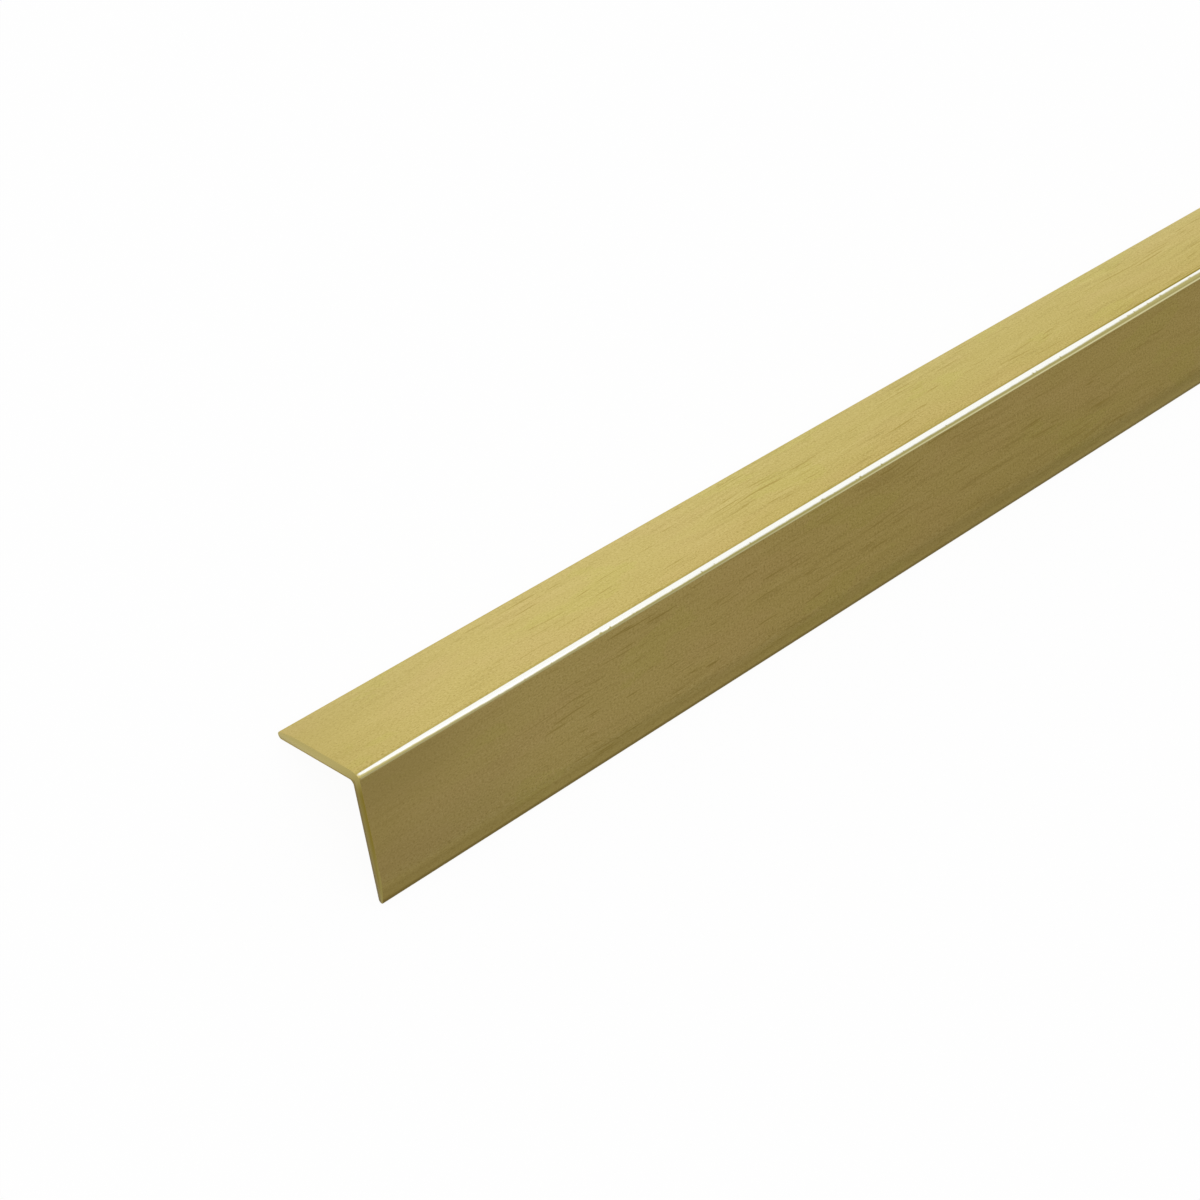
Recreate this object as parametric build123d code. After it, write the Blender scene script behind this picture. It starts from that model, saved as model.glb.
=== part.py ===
from build123d import *
from math import asin, atan2, cos, degrees, hypot, sin
import os

# Metal angle section: an unequal-leg angle with a rounded outer corner and feathered toes.
# It lies as it would on a floor, on both toes with the corner up, and runs along X.

# Sizes, in millimetres
length = 1000.0
short_leg = 21.0  # over the outside, from the sharp corner to the tip of the toe
long_leg = 25.0
wall = 2.0
outer_radius = 1.2
inner_radius = 0.8
taper = 7.0  # run along each leg over which its outside draws in towards the toe
short_feather = 0.6  # how far the outside has drawn in at the short leg's toe
long_feather = 0.9  # and at the long leg's toe


# A leg is drawn lying along +x from the sharp outer corner at the origin,
# with its outer face on y = 0 and its inner face on y = wall.


# A toe ends in a round nose as thick as the feathered wall
def nose_radius(feather):
    return (wall - feather) / 2


# The nose touches the inner face and the end of the leg
def nose_centre(reach, feather):
    radius = nose_radius(feather)
    return Vector(reach - radius, wall - radius)


# The leg's outline, from the sharp outer corner round the toe to the sharp inner corner
def leg_outline(reach, feather):
    nose = nose_radius(feather)
    centre = nose_centre(reach, feather)
    shoulder = Vector(reach - taper, 0)
    run = centre.X - shoulder.X
    # The sweep touches the outer face at the shoulder and closes tangent on the nose
    sweep_radius = (run**2 + centre.Y**2 - nose**2) / (2 * feather)
    sweep_centre = shoulder + Vector(0, sweep_radius)
    meeting = sweep_centre + (centre - sweep_centre).normalized() * sweep_radius
    inside_end = Vector(centre.X, wall)
    outer_face = Line((0, 0), shoulder)
    sweep = TangentArc(shoulder, meeting, tangent=(1, 0))
    nose_arc = TangentArc(meeting, inside_end, tangent=sweep % 1)
    inner_face = Line(inside_end, (wall, wall))
    return [outer_face, sweep, nose_arc, inner_face]


# The whole section: the short leg along +x, the long leg along +y
def angle_outline():
    diagonal = Plane(origin=(0, 0, 0), z_dir=(1, -1, 0))
    short_side = leg_outline(short_leg, short_feather)
    long_side = [mirror(edge, about=diagonal) for edge in leg_outline(long_leg, long_feather)]
    section = make_face(short_side + long_side)
    outer_corner = section.vertices().sort_by_distance((0, 0, 0))[0]
    section = fillet(outer_corner, outer_radius)
    inner_corner = section.vertices().sort_by_distance((wall, wall, 0))[0]
    return fillet(inner_corner, inner_radius)


# How far the short leg dips below level when both noses touch the floor
def resting_tilt():
    short_nose = nose_centre(short_leg, short_feather)
    across = nose_centre(long_leg, long_feather)
    long_nose = Vector(across.Y, across.X)
    span = short_nose - long_nose
    radius_step = nose_radius(long_feather) - nose_radius(short_feather)
    return atan2(-span.Y, span.X) + asin(radius_step / hypot(span.X, span.Y))


# The stock as it lies: the short leg comes down towards +Y and the long leg towards -Y
def angle_stock():
    tilt = resting_tilt()
    upright = Plane(origin=(0, 0, 0), x_dir=(0, cos(tilt), -sin(tilt)), z_dir=(-1, 0, 0))
    stock = extrude(upright * angle_outline(), amount=length / 2, both=True)
    box = stock.bounding_box()
    return Pos(0, -box.center().Y, -box.min.Z) * stock


os.makedirs("parts", exist_ok=True)
export_step(angle_stock(), "parts/angle_section.step")
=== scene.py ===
import math
import bpy
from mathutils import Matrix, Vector


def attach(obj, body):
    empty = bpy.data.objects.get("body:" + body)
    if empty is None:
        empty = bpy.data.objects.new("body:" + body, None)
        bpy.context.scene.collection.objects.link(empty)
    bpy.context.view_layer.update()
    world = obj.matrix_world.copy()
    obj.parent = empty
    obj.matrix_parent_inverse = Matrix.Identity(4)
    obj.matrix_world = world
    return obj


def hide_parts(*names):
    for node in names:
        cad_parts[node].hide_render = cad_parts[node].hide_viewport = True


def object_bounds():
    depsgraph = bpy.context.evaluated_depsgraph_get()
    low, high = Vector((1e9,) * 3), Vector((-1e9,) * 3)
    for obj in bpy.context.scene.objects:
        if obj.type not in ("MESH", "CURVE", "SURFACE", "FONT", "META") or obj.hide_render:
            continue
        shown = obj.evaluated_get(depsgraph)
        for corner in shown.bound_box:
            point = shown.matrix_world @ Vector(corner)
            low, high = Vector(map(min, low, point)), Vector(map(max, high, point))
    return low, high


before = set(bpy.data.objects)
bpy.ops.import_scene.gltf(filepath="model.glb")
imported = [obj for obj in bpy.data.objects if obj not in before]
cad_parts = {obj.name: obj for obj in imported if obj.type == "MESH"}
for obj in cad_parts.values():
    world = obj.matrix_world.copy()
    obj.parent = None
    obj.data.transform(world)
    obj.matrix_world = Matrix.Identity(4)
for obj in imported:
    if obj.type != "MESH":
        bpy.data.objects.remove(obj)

scene = bpy.context.scene
cadLow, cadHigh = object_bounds()
print("packed angle loaded, size", [round(high - low, 4) for low, high in zip(cadLow, cadHigh)])


# The bar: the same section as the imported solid, traced with finer rounds. Metres.
angleBar = {
    "shortLeg": 0.021,
    "longLeg": 0.025,
    "wall": 0.002,
    "shoulderRun": 0.0022,  # where the short leg starts to lean over towards the corner
    "shoulderTurn": 0.35,  # how far it has leant, in radians, where the tight round takes over
    "cornerRound": 0.00085,
    "innerRadius": 0.0008,
    "taper": 0.007,  # run over which a leg thins towards its toe
    "shortFeather": 0.0006,  # how much it has thinned at the toe
    "longFeather": 0.0009,
    "cornerSteps": 24,
    "sweepSteps": 14,
    "noseSteps": 22,
    "holdingEdge": 0.00025,  # strip beside each round that keeps the flats flat
    "sawnEdge": 0.00008,  # what the file takes off the sawn rim
}


def noseOf(feather):  # radius of the toe's round nose
    return (angleBar["wall"] - feather) / 2


def sweepOf(feather):  # radius and angle of the sweep that thins the leg
    nose = noseOf(feather)
    across = angleBar["taper"] - nose
    inward = angleBar["wall"] - nose
    radius = (across**2 + inward**2 - nose**2) / (2 * feather)
    return radius, math.atan2(across, radius - inward)


def shoulderOf():  # radius of the lean, and where the round meets the long leg's face
    tight, turn = angleBar["cornerRound"], angleBar["shoulderTurn"]
    radius = (angleBar["shoulderRun"] - tight) / math.sin(turn) + tight
    return radius, radius - (radius - tight) * math.cos(turn)


def restingTilt():  # how far the short leg dips below level with both noses on the floor
    shortNose, longNose = noseOf(angleBar["shortFeather"]), noseOf(angleBar["longFeather"])
    across = (angleBar["shortLeg"] - shortNose) - (angleBar["wall"] - longNose)
    down = (angleBar["longLeg"] - longNose) - (angleBar["wall"] - shortNose)
    return math.atan2(down, across) + math.asin((longNose - shortNose) / math.hypot(across, down))


def goStraight(across, down):  # draws the pen point along: a short hold, the run, a short hold
    hold = angleBar["holdingEdge"] / math.hypot(across, down)
    for share in (hold, 1 - 2 * hold, hold):
        bpy.ops.mesh.extrude_region_move(
            TRANSFORM_OT_translate={"value": (0, across * share, -down * share)})


def goRound(across, down, angle, steps):  # turns the pen point about a centre
    bpy.ops.mesh.spin(steps=steps, angle=angle, center=(cadLow.x, across, -down), axis=(1, 0, 0))


def makeAngleBar():
    wall, tight, fillet = angleBar["wall"], angleBar["cornerRound"], angleBar["innerRadius"]
    short, long, taper = angleBar["shortLeg"], angleBar["longLeg"], angleBar["taper"]
    shortNose, longNose = noseOf(angleBar["shortFeather"]), noseOf(angleBar["longFeather"])
    shortSweep, shortTurn = sweepOf(angleBar["shortFeather"])
    longSweep, longTurn = sweepOf(angleBar["longFeather"])
    lean, leanTurn, leanStart = shoulderOf()[0], angleBar["shoulderTurn"], angleBar["shoulderRun"]
    faceStart = shoulderOf()[1]
    bpy.ops.object.select_all(action="DESELECT")
    bpy.ops.mesh.primitive_plane_add(size=wall, location=(cadLow.x, leanStart, 0))
    bar = bpy.context.object
    bar.name = "angle_bar"
    bpy.ops.object.mode_set(mode="EDIT")
    bpy.ops.mesh.select_mode(type="VERT")
    bpy.ops.mesh.select_all(action="SELECT")
    bpy.ops.mesh.merge(type="CENTER")  # one pen point, where the short leg leaves the corner
    goStraight(short - taper - leanStart, 0)
    goRound(short - taper, shortSweep, shortTurn, angleBar["sweepSteps"])
    goRound(short - shortNose, wall - shortNose, math.pi - shortTurn, angleBar["noseSteps"])
    goStraight(-(short - shortNose - wall - fillet), 0)
    goRound(wall + fillet, wall + fillet, -math.pi / 2, angleBar["cornerSteps"])
    goStraight(0, long - longNose - wall - fillet)
    goRound(wall - longNose, long - longNose, math.pi - longTurn, angleBar["noseSteps"])
    goRound(longSweep, long - taper, longTurn, angleBar["sweepSteps"])
    goStraight(0, -(long - taper - faceStart))
    goRound(tight, faceStart, math.pi / 2 - leanTurn, angleBar["cornerSteps"])
    goRound(leanStart, lean, leanTurn, angleBar["cornerSteps"])
    bpy.ops.mesh.select_all(action="SELECT")
    bpy.ops.mesh.remove_doubles(threshold=1e-6)
    bpy.ops.mesh.edge_face_add()
    bpy.ops.mesh.extrude_region_move(TRANSFORM_OT_translate={"value": (cadHigh.x - cadLow.x, 0, 0)})
    bpy.ops.mesh.select_all(action="SELECT")
    bpy.ops.mesh.normals_make_consistent(inside=False)
    bpy.ops.object.mode_set(mode="OBJECT")
    bpy.ops.object.transform_apply(location=True, rotation=True, scale=True)
    bar.rotation_euler.x = -restingTilt()  # about the sharp outer corner, at the world's middle
    bpy.ops.object.transform_apply(location=True, rotation=True, scale=True)
    sides = [point.co.y for point in bar.data.vertices]
    heights = [point.co.z for point in bar.data.vertices]
    cornerPlace = Vector((0, -(min(sides) + max(sides)) / 2, -min(heights)))
    bar.location = cornerPlace
    bpy.ops.object.transform_apply(location=True, rotation=True, scale=True)
    rim = bar.modifiers.new("sawnEdge", "BEVEL")
    rim.width = angleBar["sawnEdge"]
    rim.segments = 2
    rim.limit_method = "ANGLE"
    rim.angle_limit = math.radians(60)
    bpy.ops.object.modifier_apply(modifier=rim.name)
    bpy.ops.object.shade_smooth_by_angle(angle=math.radians(30))
    print("bar traced,", len(bar.data.polygons), "faces")
    return bar, cornerPlace


bar, cornerPlace = makeAngleBar()
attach(bar, "root")
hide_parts("angle_section")


# Finishes. Colours are linear. Places and sizes of marks are in millimetres: fromEnd runs along the
# bar from its sawn end, onShort and onLong run down the two legs from the sharp outer corner.
metre = 1000
goldFinish = {
    "gold": (0.603, 0.488, 0.166, 1),
    "greenGold": (0.596, 0.500, 0.155, 1),
    "tanGold": (0.612, 0.482, 0.175, 1),
    "grainDarkAndEndShade": (0.44, 0.34, 0.10, 1),
    "grainLight": (0.69, 0.565, 0.225, 1),
    "roughness": 0.2,
    "edgeTint": (0.98, 0.95, 0.79, 1),  # keeps the gold gold at a slant
    "patchSize": (24, 9),  # length and width of a mark, as in the five sizes below
    "crowdSize": (26, 9),  # stretches where streaks and scratches crowd together
    "streakSize": (13, 1.0),
    "grainSize": (0.46, 0.30),
    "scratchSize": (15.0, 0.45),
    "nickSize": (1.1, 4.0),
    "streakStrength": 0.26,
    "grainStrength": 0.66,
    "bump": 0.15,
    # painted shade: darker further along the bar
    "farShade": (0.93, 0.935, 0.89, 1),
    "cornerShade": (0.955, 0.93, 0.86, 1),  # painted shade: the gold is a little deeper by the corner
    "endShade": (0.905, 0.90, 0.92, 1),  # painted shade by the sawn end, away from the corner
    "scratch": (0.435, 0.33, 0.085, 1),
    "endBrown": (0.42, 0.325, 0.11, 1),  # browner, beside the corner at the sawn end
    # painted shade: a darker rim just past the painted highlight band
    "rimShade": (0.29, 0.22, 0.02, 1),
    "cornerHighlight": (0.965, 0.97, 0.92, 1),  # painted highlight: the round corner nearly white
    # the painted highlight band: how far along, the band's low and high edge on the round, and how dark
    # the painted olive shade below it
    "highlightBand": (
        (0, -0.12, 0.65, 0.0), (12, -0.34, 0.85, 0.0), (30, -0.54, 0.98, 0.2),
        (60, -0.27, 1.14, 0.75), (90, -0.10, 1.29, 1.0), (172, 0.18, 1.68, 0.42), (205, 0.76, 1.54, 0.25)),
    # painted shade on the round, below the painted highlight band
    "oliveCornerShade": (0.49, 0.435, 0.17, 1),
    "darkOliveShade": (0.335, 0.30, 0.10, 1),
    "highlightLine": (1.0, 0.97, 0.53, 1),  # painted highlight: the last line before the long leg's face
    "toeShade": 0.67,  # how far the long leg's toe is darkened with painted shade
    "toeTipShade": 0.90,
    # painted shade colour for the long leg's toe
    "toeShadeColour": (0.125, 0.085, 0.017, 1),
    "toeLine": (0.50, 0.38, 0.06, 1),  # along the short leg's nose
    "cutGold": (0.457, 0.378, 0.130, 1),
    # painted shade on the sawn end, darker down the long leg
    "cutShade": (0.205, 0.150, 0.016, 1),
    "cutLitLine": (0.266, 0.214, 0.056, 1),  # painted highlight line down the outside of the long leg's cut
    # painted shade along the sawn end's inner rim
    "cutRimShade": (0.72, 0.62, 0.26, 1),
}


def newMaterial(name):
    material = bpy.data.materials.new(name)
    material.use_nodes = True
    return material, material.node_tree.nodes, material.node_tree.links


def addNode(tree, kind, settings=None, **inputs):  # a node with its settings and plugs
    node = tree.nodes.new("ShaderNode" + kind)
    for key, value in (settings or {}).items():
        setattr(node, key, value)
    for key, value in inputs.items():
        place = int(key[1:]) if key[1:].isdigit() else key.replace("_", " ")
        socket = node.inputs[place]
        if isinstance(value, bpy.types.NodeSocket):
            tree.links.new(value, socket)
        else:
            socket.default_value = value
    return node


def doMath(tree, operation, first, second=0.0, third=0.0):
    return addNode(tree, "Math", {"operation": operation}, i0=first, i1=second, i2=third).outputs[0]


def fade(tree, value, fromValue, toValue):  # 0 to 1 between two values, eased
    eased = {"interpolation_type": "SMOOTHSTEP"}
    node = addNode(tree, "MapRange", eased, Value=value, From_Min=fromValue, From_Max=toValue)
    return node.outputs["Result"]


def mixColours(tree, share, first, second, blend="MIX"):
    node = addNode(tree, "Mix", {"data_type": "RGBA", "blend_type": blend})
    for socket, value in ((node.inputs[0], share), (node.inputs[6], first), (node.inputs[7], second)):
        if isinstance(value, bpy.types.NodeSocket):
            tree.links.new(value, socket)
        else:
            socket.default_value = value
    return node.outputs[2]


def rampOf(tree, place, stops):  # straight runs between colours
    node = addNode(tree, "ValToRGB", None, Fac=place)
    for count, (position, colour) in enumerate(stops):
        stop = node.color_ramp.elements[count] if count < 2 else node.color_ramp.elements.new(1)
        stop.position = position
        stop.color = (*colour, 1)
    return node.outputs["Color"]


def marks(tree, place, length, width, detail=2.0, rough=0.5, shift=0.0):  # noise drawn out along the bar
    stretch = (1 / length, 1 / width, 1 / width)
    drawn = addNode(tree, "Mapping", None, Vector=place, Location=(shift,) * 3, Scale=stretch).outputs[0]
    noise = addNode(tree, "TexNoise", None, Vector=drawn, Scale=1.0, Detail=detail, Roughness=rough)
    return noise.outputs["Fac"]


def layOut(tree):  # places on the bar, square to its legs
    coords = addNode(tree, "TexCoord")
    tilt = restingTilt()
    backAcross = cornerPlace.y * math.cos(tilt) - cornerPlace.z * math.sin(tilt)
    backUp = cornerPlace.y * math.sin(tilt) + cornerPlace.z * math.cos(tilt)
    square = addNode(tree, "Mapping", None, Vector=coords.outputs["Object"], Rotation=(tilt, 0, 0),
                     Location=(0, -metre * backAcross, -metre * backUp), Scale=(metre,) * 3).outputs[0]
    split = addNode(tree, "SeparateXYZ", None, Vector=square)
    fromEnd = doMath(tree, "SUBTRACT", split.outputs["X"], metre * cadLow.x)
    onLong = doMath(tree, "MULTIPLY", split.outputs["Z"], -1)
    return square, fromEnd, split.outputs["Y"], onLong


def farAlong(tree, fromEnd):  # where streaks and grain grow stronger
    return fade(tree, fromEnd, 50, 110)


def brushedGold(tree, square, fromEnd, onShort, onLong):
    waves = addNode(tree, "Mapping", None, Vector=square, Scale=(1 / 22, 1 / 12, 1 / 12)).outputs[0]
    waves = addNode(tree, "TexNoise", None, Vector=waves, Scale=1.0, Detail=1.0).outputs["Color"]
    timesAdd = {"operation": "MULTIPLY_ADD"}
    wavy = addNode(tree, "VectorMath", timesAdd, i0=waves, i1=(0, 2.4, 2.4), i2=square).outputs[0]
    cornerward = fade(tree, onShort, 13, 0.5)
    far = farAlong(tree, fromEnd)
    patches = marks(tree, wavy, *goldFinish["patchSize"], 4.0, 0.5, 37.0)
    gold = mixColours(tree, fade(tree, patches, 0.36, 0.50), goldFinish["tanGold"], goldFinish["gold"])
    gold = mixColours(tree, fade(tree, patches, 0.565, 0.60), gold, goldFinish["greenGold"])
    busy = fade(tree, marks(tree, square, *goldFinish["crowdSize"], 1.0, 0.5, 63.0), 0.42, 0.58)
    streaks = marks(tree, wavy, *goldFinish["streakSize"], 3.0, 0.6, 31.0)
    streakShare = doMath(tree, "MULTIPLY_ADD", far, 0.17, goldFinish["streakStrength"])
    streakShare = doMath(tree, "MULTIPLY", streakShare, doMath(tree, "MULTIPLY_ADD", busy, 0.7, 0.6))
    grain = marks(tree, square, *goldFinish["grainSize"], 2.0, 0.7, 11.0)
    grainShare = doMath(tree, "MULTIPLY_ADD", cornerward, 0.26, goldFinish["grainStrength"])
    grainShare = doMath(tree, "MULTIPLY", grainShare, doMath(tree, "MULTIPLY_ADD", far, 0.2, 1.0))
    for pattern, share in ((streaks, streakShare), (grain, grainShare)):
        dark = doMath(tree, "MULTIPLY", fade(tree, pattern, 0.5, 0.72), share)
        light = doMath(tree, "MULTIPLY", fade(tree, pattern, 0.5, 0.28), share)
        gold = mixColours(tree, dark, gold, goldFinish["grainDarkAndEndShade"])
        gold = mixColours(tree, light, gold, goldFinish["grainLight"])

    # painted shades, slow: darker further along, by the corner and by the sawn end; less of the far one in
    # the middle of the long leg
    farShare = doMath(tree, "MULTIPLY", fade(tree, onLong, 1, 3), fade(tree, onLong, 17, 8))
    farShare = doMath(tree, "MULTIPLY_ADD", farShare, -0.45, 1.0)
    farShare = doMath(tree, "MULTIPLY", farShare, fade(tree, fromEnd, 60, 150))
    gold = mixColours(tree, farShare, gold, goldFinish["farShade"], "MULTIPLY")
    cornerShare = doMath(tree, "MULTIPLY_ADD", fade(tree, fromEnd, 30, 100), 0.6, 0.4)
    cornerShare = doMath(tree, "MULTIPLY", cornerShare, cornerward)
    gold = mixColours(tree, cornerShare, gold, goldFinish["cornerShade"], "MULTIPLY")
    endShare = doMath(tree, "MULTIPLY_ADD", fade(tree, onShort, 7, 18), 0.5, fade(tree, onLong, 7, 18))
    endShare = doMath(tree, "MULTIPLY", endShare, fade(tree, fromEnd, 38, 18))
    gold = mixColours(tree, endShare, gold, goldFinish["endShade"], "MULTIPLY")

    scratches = marks(tree, wavy, *goldFinish["scratchSize"], 2.5, 0.5, 23.0)
    scratches = fade(tree, doMath(tree, "MULTIPLY_ADD", busy, 0.035, scratches), 0.645, 0.72)
    scratches = doMath(tree, "MULTIPLY", scratches, fade(tree, fromEnd, 12, 50))
    gold = mixColours(tree, scratches, gold, goldFinish["scratch"])
    # painted shade: darker towards the sawn end, in the grain's dark colour
    sawnEndShade = doMath(tree, "MULTIPLY", fade(tree, fromEnd, 22, -4), 0.32)
    gold = mixColours(tree, sawnEndShade, gold, goldFinish["grainDarkAndEndShade"])
    endBrown = doMath(tree, "MULTIPLY", fade(tree, fromEnd, 36, 8), fade(tree, onLong, 14, 2))
    endBrown = doMath(tree, "MULTIPLY", endBrown, fade(tree, onLong, 0.8, 1.4))
    gold = mixColours(tree, doMath(tree, "MULTIPLY", endBrown, 0.44), gold, goldFinish["endBrown"])
    return gold, grain, scratches


# painted light on the corner: a near-white painted highlight band on the round, painted olive shade and a
# thin highlight line below it, a painted darker rim above it
def paintCornerLight(tree, gold, square, fromEnd, onShort, onLong):
    bandLength = goldFinish["highlightBand"][-1][0]
    stations = [(start / bandLength, (low + 1, high, olive))  # a colour can't be below 0, so low is raised
                for start, low, high, olive in goldFinish["highlightBand"]]
    onBand = addNode(tree, "MapRange", None, Value=fromEnd, From_Max=bandLength).outputs["Result"]
    band = addNode(tree, "SeparateColor", None, i0=rampOf(tree, onBand, stations))
    lowEdge = doMath(tree, "SUBTRACT", band.outputs[0], 1)
    highEdge = band.outputs[1]
    along = addNode(tree, "MapRange", None, Value=fromEnd, From_Max=200).outputs["Result"]

    # the painted highlight's low edge is ragged, and small nicks bite into it
    nicks = fade(tree, marks(tree, square, *goldFinish["nickSize"], 2.0, 0.6, 9.0), 0.58, 0.67)
    nicks = doMath(tree, "MULTIPLY", nicks, fade(tree, fromEnd, 15, 45))
    ragged = doMath(tree, "MULTIPLY_ADD", marks(tree, square, 1.4, 0.8, 2.0, 0.6, 5.0), 0.24, -0.12)
    ragged = doMath(tree, "MULTIPLY_ADD", nicks, -0.24, ragged)
    ragged = doMath(tree, "ADD", ragged, doMath(tree, "SUBTRACT", onShort, onLong))
    aboveLow = doMath(tree, "SUBTRACT", ragged, lowEdge)
    belowHigh = doMath(tree, "SUBTRACT", highEdge, onShort)
    lineEnd = doMath(tree, "SUBTRACT", doMath(tree, "MULTIPLY_ADD", along, -0.05, 1.01), onLong)
    reach = doMath(tree, "MULTIPLY", fade(tree, belowHigh, -0.05, 0.09), fade(tree, lineEnd, -0.06, 0.08))
    reach = doMath(tree, "MULTIPLY", reach, fade(tree, fromEnd, -0.1, 0.6))

    # from the long leg up, painted light on the round: the thin highlight line, the olive shade and the
    # pale highlight band
    lineShare = doMath(tree, "MULTIPLY_ADD", fade(tree, fromEnd, 35, 150), 0.60, 0.40)
    lineStart = doMath(tree, "MULTIPLY_ADD", along, 0.15, onLong)
    lined = doMath(tree, "MULTIPLY", fade(tree, lineStart, 0.71, 0.93), lineShare)
    cornerLight = mixColours(tree, band.outputs[2], goldFinish["oliveCornerShade"], goldFinish["darkOliveShade"])
    cornerLight = mixColours(tree, lined, cornerLight, goldFinish["highlightLine"])
    spread = doMath(tree, "MULTIPLY_ADD", doMath(tree, "POWER", along, 4.0), 0.08, 0.24)
    paleShare = fade(tree, doMath(tree, "DIVIDE", aboveLow, spread), -1, 1)
    cornerLight = mixColours(tree, paleShare, cornerLight, goldFinish["cornerHighlight"])

    # painted shade: a darker rim on the short leg, just past the highlight band
    rim = doMath(tree, "MULTIPLY", fade(tree, belowHigh, -0.55, -0.25), fade(tree, belowHigh, 0.15, -0.1))
    rimShare = doMath(tree, "MULTIPLY_ADD", along, 0.25, 0.22)
    rimShare = doMath(tree, "MULTIPLY_ADD", doMath(tree, "POWER", along, 12.0), 0.53, rimShare)
    gold = mixColours(tree, doMath(tree, "MULTIPLY", rim, rimShare), gold, goldFinish["rimShade"])
    return mixColours(tree, reach, gold, cornerLight)


# painted shade darkening the long leg's toe, and a darker line along the short leg's nose
def shadeToes(tree, colour, fromEnd, onShort, onLong):
    shade, tipShade = goldFinish["toeShade"], goldFinish["toeTipShade"]
    toeward = doMath(tree, "MULTIPLY_ADD", farAlong(tree, fromEnd), -0.2, onLong)
    toeShading = doMath(tree, "MULTIPLY", fade(tree, onLong, 16.5, 20), 0.06)
    toeShading = doMath(tree, "MULTIPLY_ADD", fade(tree, toeward, 19.5, 22.6), shade, toeShading)
    toeShading = doMath(tree, "MULTIPLY_ADD", fade(tree, onLong, 23.8, 24.4), tipShade - shade, toeShading)
    colour = mixColours(tree, toeShading, colour, goldFinish["toeShadeColour"])
    nose = doMath(tree, "MULTIPLY", fade(tree, onShort, 20.1, 20.6), 0.8)
    return mixColours(tree, nose, colour, goldFinish["toeLine"])


def sawnCut(tree, colour, onShort, onLong):  # on faces that look along the bar: painted shade darker down the long leg, a painted highlight line down its outside, painted shade along the inner rim
    normal = addNode(tree, "NewGeometry").outputs["Normal"]
    endwise = doMath(tree, "ABSOLUTE", addNode(tree, "SeparateXYZ", None, Vector=normal).outputs["X"])
    cut = fade(tree, endwise, 0.85, 0.98)
    downLong = doMath(tree, "MULTIPLY_ADD", onShort, -0.25, onLong)
    darker = fade(tree, downLong, -1.5, 4.3)
    cutColour = mixColours(tree, darker, goldFinish["cutGold"], goldFinish["cutShade"])
    thinFrom = metre * (angleBar["longLeg"] - angleBar["taper"])  # the line follows the thinning leg
    thinning = -1 / (2 * metre * sweepOf(angleBar["longFeather"])[0])
    pastThin = doMath(tree, "MAXIMUM", doMath(tree, "SUBTRACT", onLong, thinFrom), 0.0)
    outside = doMath(tree, "MULTIPLY_ADD", doMath(tree, "POWER", pastThin, 2.0), thinning, onShort)
    litLine = doMath(tree, "MULTIPLY", fade(tree, outside, 0.8, 0.35), fade(tree, onLong, 12, 20))
    cutColour = mixColours(tree, litLine, cutColour, goldFinish["cutLitLine"])
    inward = doMath(tree, "MINIMUM", doMath(tree, "ADD", onShort, 0.3), onLong)
    innerEdge = fade(tree, inward, 1.55, 1.85)
    cutColour = mixColours(tree, innerEdge, cutColour, goldFinish["cutRimShade"], "MULTIPLY")
    return mixColours(tree, cut, colour, cutColour), cut


def goldMetal():
    material, nodes, links = newMaterial("goldMetal")
    tree = material.node_tree
    shader = nodes["Principled BSDF"]
    square, fromEnd, onShort, onLong = layOut(tree)
    gold, grain, scratches = brushedGold(tree, square, fromEnd, onShort, onLong)
    colour = paintCornerLight(tree, gold, square, fromEnd, onShort, onLong)
    colour = shadeToes(tree, colour, fromEnd, onShort, onLong)
    colour, cut = sawnCut(tree, colour, onShort, onLong)
    links.new(colour, shader.inputs["Base Color"])
    shader.inputs["Metallic"].default_value = 1
    shader.inputs["Specular Tint"].default_value = goldFinish["edgeTint"]
    rough = doMath(tree, "MULTIPLY_ADD", grain, 0.06, goldFinish["roughness"] - 0.03)
    links.new(doMath(tree, "MULTIPLY_ADD", cut, 0.15, rough), shader.inputs["Roughness"])
    height = doMath(tree, "MULTIPLY_ADD", scratches, -0.6, grain)
    bump = addNode(tree, "Bump", None, Height=height, Strength=goldFinish["bump"], Distance=0.00002)
    links.new(bump.outputs[0], shader.inputs["Normal"])
    print("gold finish mixed")
    return material


bar.data.materials.clear()
bar.data.materials.append(goldMetal())


# Floor, light and camera
studio = {
    "floorSize": 60.0,
    "floorWhite": 0.88,
    "floorGlow": 0.95,
    # how bright the sky is, by the angle round from +Y over the bar to -Y
    "sky": ((0, 1.0), (45, 1.0), (70, 0.90), (90, 0.75), (110, 0.68), (128, 0.61), (150, 0.475)),
    "warmth": 0.11,  # how much the dimmer sky warms
    "overhead": 0.35,  # added straight up
    "whiteEnds": (0.86, 0.94),  # the sky is plain white where it faces this nearly along the bar
    "aim": (-0.42, 0, 0),
    "keyPower": 20,
    "keyPlace": (-2.3, 2.80, 2.55),
    "keySize": (3.4, 3.4),
    "fillPower": 16,
    "fillPlace": (-2.7, 0, 3.3),
    "fillSize": (3.0, 3.0),
    "lens": 70.795,
    "cameraPlace": (-0.65157, -0.00728, 0.33688),
    "cameraTurn": (20.2317, -26.1511, -35.8236),  # degrees
}


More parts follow.
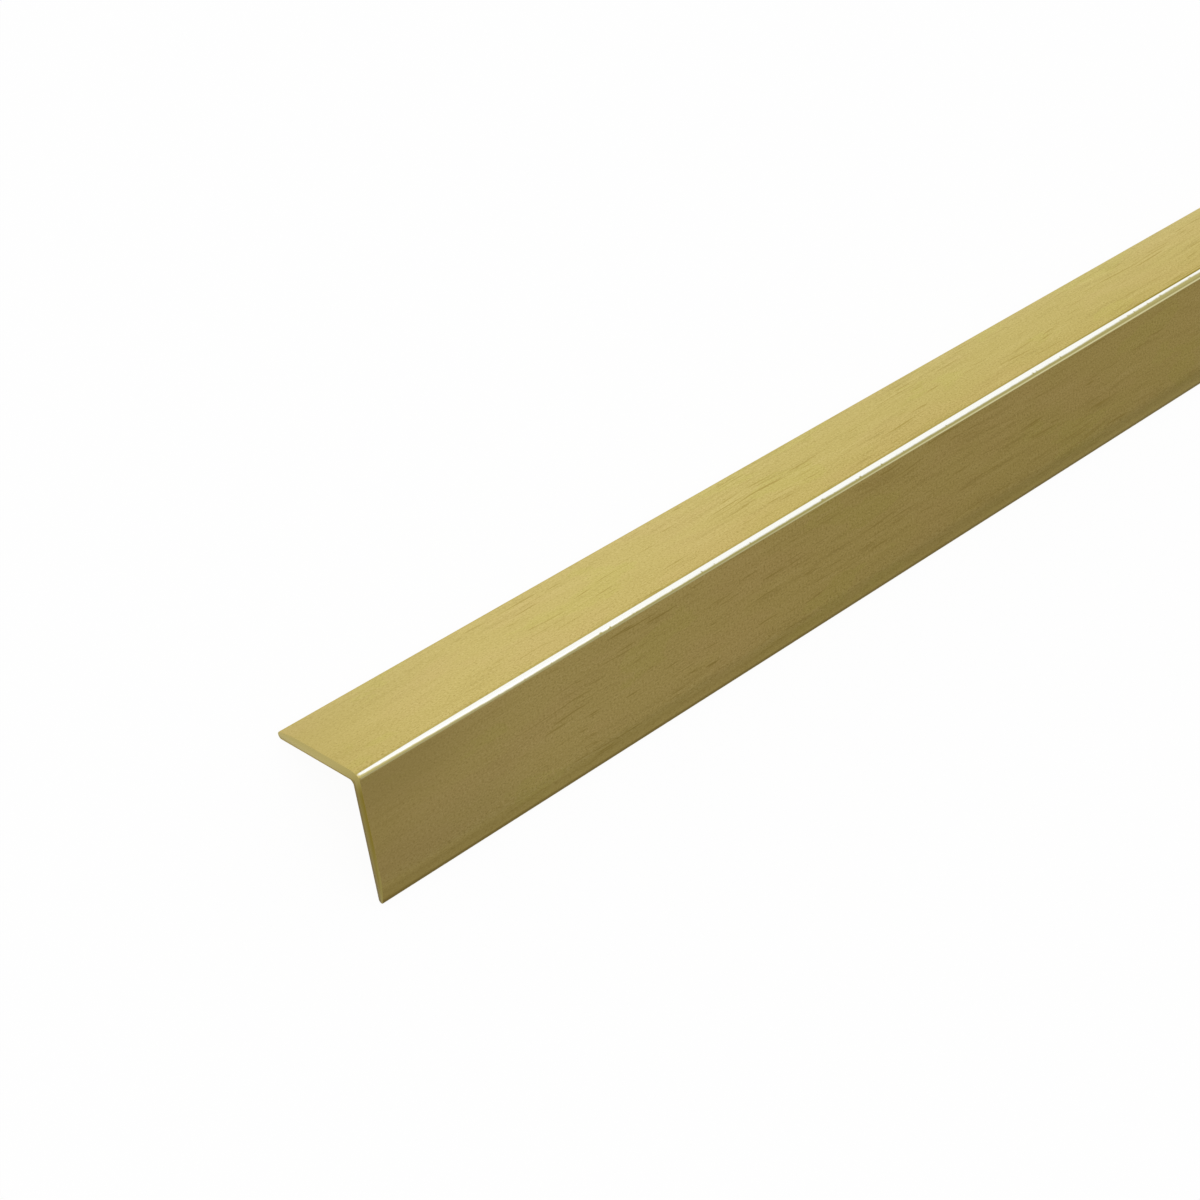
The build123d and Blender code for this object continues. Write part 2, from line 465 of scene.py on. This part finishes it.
def makeFloor():
    bpy.ops.object.select_all(action="DESELECT")
    bpy.ops.mesh.primitive_plane_add(size=studio["floorSize"], location=(0, 0, 0))
    floor = bpy.context.object
    floor.name = "studio_floor"
    material, nodes, links = newMaterial("paleFloor")
    tree = material.node_tree
    shader = nodes["Principled BSDF"]
    white = studio["floorWhite"]
    shader.inputs["Base Color"].default_value = (white, white, white, 1)
    shader.inputs["Roughness"].default_value = 0.9
    shader.inputs["Specular IOR Level"].default_value = 0
    glow = addNode(tree, "Emission")
    rays = addNode(tree, "LightPath")
    seen = doMath(tree, "MAXIMUM", rays.outputs["Is Camera Ray"], rays.outputs["Is Glossy Ray"])
    seen = doMath(tree, "MAXIMUM", seen, rays.outputs["Is Transmission Ray"])
    share = doMath(tree, "MULTIPLY", seen, studio["floorGlow"])
    mix = addNode(tree, "MixShader", None, i0=share, i1=shader.outputs[0], i2=glow.outputs[0])
    links.new(mix.outputs[0], nodes["Material Output"].inputs["Surface"])
    floor.data.materials.append(material)
    print("floor laid")


def softPanel(name, place, size, power):  # a square of soft light facing the bar
    data = bpy.data.lights.new(name, "AREA")
    data.shape = "RECTANGLE"
    data.size, data.size_y = size
    data.energy = power
    panel = bpy.data.objects.new(name, data)
    scene.collection.objects.link(panel)
    panel.location = place
    panel.rotation_euler = (Vector(studio["aim"]) - Vector(place)).to_track_quat("-Z", "Y").to_euler()


def makeLights():
    world = bpy.data.worlds.new("studio")
    scene.world = world
    world.use_nodes = True
    tree = world.node_tree
    sky = addNode(tree, "SeparateXYZ", None, Vector=addNode(tree, "TexCoord").outputs["Generated"])
    turn = doMath(tree, "DIVIDE", doMath(tree, "ARCTAN2", sky.outputs["Z"], sky.outputs["Y"]), math.pi)
    stops = []
    for angle, bright in studio["sky"]:
        warmth = studio["warmth"] * (1 - bright)
        stops.append((angle / 180, (bright, bright * (1 - warmth), bright * (1 - 1.1 * warmth))))
    light = doMath(tree, "MULTIPLY", fade(tree, sky.outputs["Z"], 0.8, 0.95), studio["overhead"])
    together = {"operation": "ADD"}
    colour = addNode(tree, "VectorMath", together, i0=rampOf(tree, turn, stops), i1=light).outputs[0]
    endward = fade(tree, doMath(tree, "ABSOLUTE", sky.outputs["X"]), *studio["whiteEnds"])
    colour = mixColours(tree, endward, colour, (1, 1, 1, 1))
    tree.links.new(colour, tree.nodes["Background"].inputs["Color"])
    softPanel("keyPanel", studio["keyPlace"], studio["keySize"], studio["keyPower"])
    softPanel("fillPanel", studio["fillPlace"], studio["fillSize"], studio["fillPower"])
    print("sky and soft panels set")


def makeCamera():
    data = bpy.data.cameras.new("camera")
    camera = bpy.data.objects.new("camera", data)
    scene.collection.objects.link(camera)
    data.lens = studio["lens"]
    data.sensor_width = 36
    camera.location = studio["cameraPlace"]
    camera.rotation_euler = [math.radians(angle) for angle in studio["cameraTurn"]]
    data.clip_start = 0.01
    data.clip_end = 50
    scene.camera = camera
    print("camera placed")


makeFloor()
makeLights()
makeCamera()
scene.view_settings.view_transform = "Standard"
